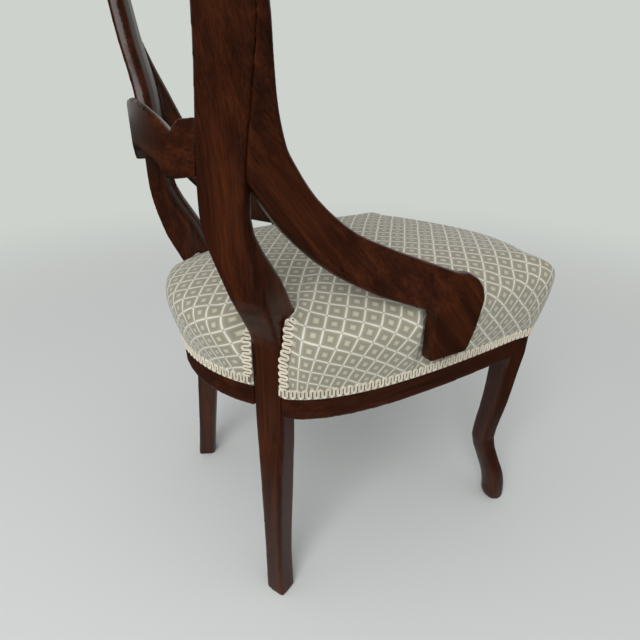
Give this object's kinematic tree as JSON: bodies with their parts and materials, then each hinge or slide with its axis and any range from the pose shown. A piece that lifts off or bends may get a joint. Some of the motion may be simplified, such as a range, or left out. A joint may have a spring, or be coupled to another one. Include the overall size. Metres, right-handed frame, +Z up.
{
  "type": "balloon back chair",
  "caption": "Balloon back side chair in polished dark wood, with swept hip braces, cabriole front legs and a sprung seat upholstered in trellis fabric edged with braid.",
  "frame": {"origin": "on the floor, under the middle of the chair's bounding box", "axes": "+Z up, +Y towards the back of the chair, +X towards the sitter's left"},
  "size_m": [0.4966, 0.563, 0.93],
  "materials": {
    "polished_walnut": "satin french polish",
    "beech": "bare",
    "steel": "plain wire and screws",
    "cover_fabric": "woven trellis pattern",
    "cream_braid": "looped gimp braid",
    "jute": "woven",
    "horsehair": "loose stuffing",
    "black_cambric": "thin lining cloth"
  },
  "bodies": {
    "root": {"rear_post_right": "polished_walnut", "rear_post_left": "polished_walnut", "front_leg_right": "polished_walnut", "front_leg_left": "polished_walnut", "rear_rail": "polished_walnut", "front_rail": "polished_walnut", "side_rail_right": "polished_walnut", "side_rail_left": "polished_walnut", "back_crosspiece": "polished_walnut", "crest_rail": "polished_walnut", "hip_brace_right": "polished_walnut", "hip_brace_left": "polished_walnut", "crest_dowel_right": "beech", "crest_dowel_left": "beech", "brace_dowel_right": "beech", "brace_dowel_left": "beech", "rear_block_right": "beech", "rear_block_left": "beech", "front_block_right": "beech", "front_block_left": "beech", "rear_block_screw_right_1": "steel", "rear_block_screw_right_2": "steel", "rear_block_screw_left_1": "steel", "rear_block_screw_left_2": "steel", "front_block_screw_right_1": "steel", "front_block_screw_right_2": "steel", "front_block_screw_left_1": "steel", "front_block_screw_left_2": "steel", "brace_screw_right": "steel", "brace_screw_left": "steel", "seat_spring_front_right": "steel", "seat_spring_front_left": "steel", "seat_spring_rear_right": "steel", "seat_spring_rear_left": "steel", "seat_cover": "cover_fabric", "braid_front": "cream_braid", "braid_rear": "cream_braid", "webbing_long_1": "jute", "webbing_long_2": "jute", "webbing_long_3": "jute", "webbing_cross_1": "jute", "webbing_cross_2": "jute", "webbing_cross_3": "jute", "spring_hessian": "jute", "seat_stuffing": "horsehair", "dust_lining": "black_cambric"}
  },
  "joints": []
}
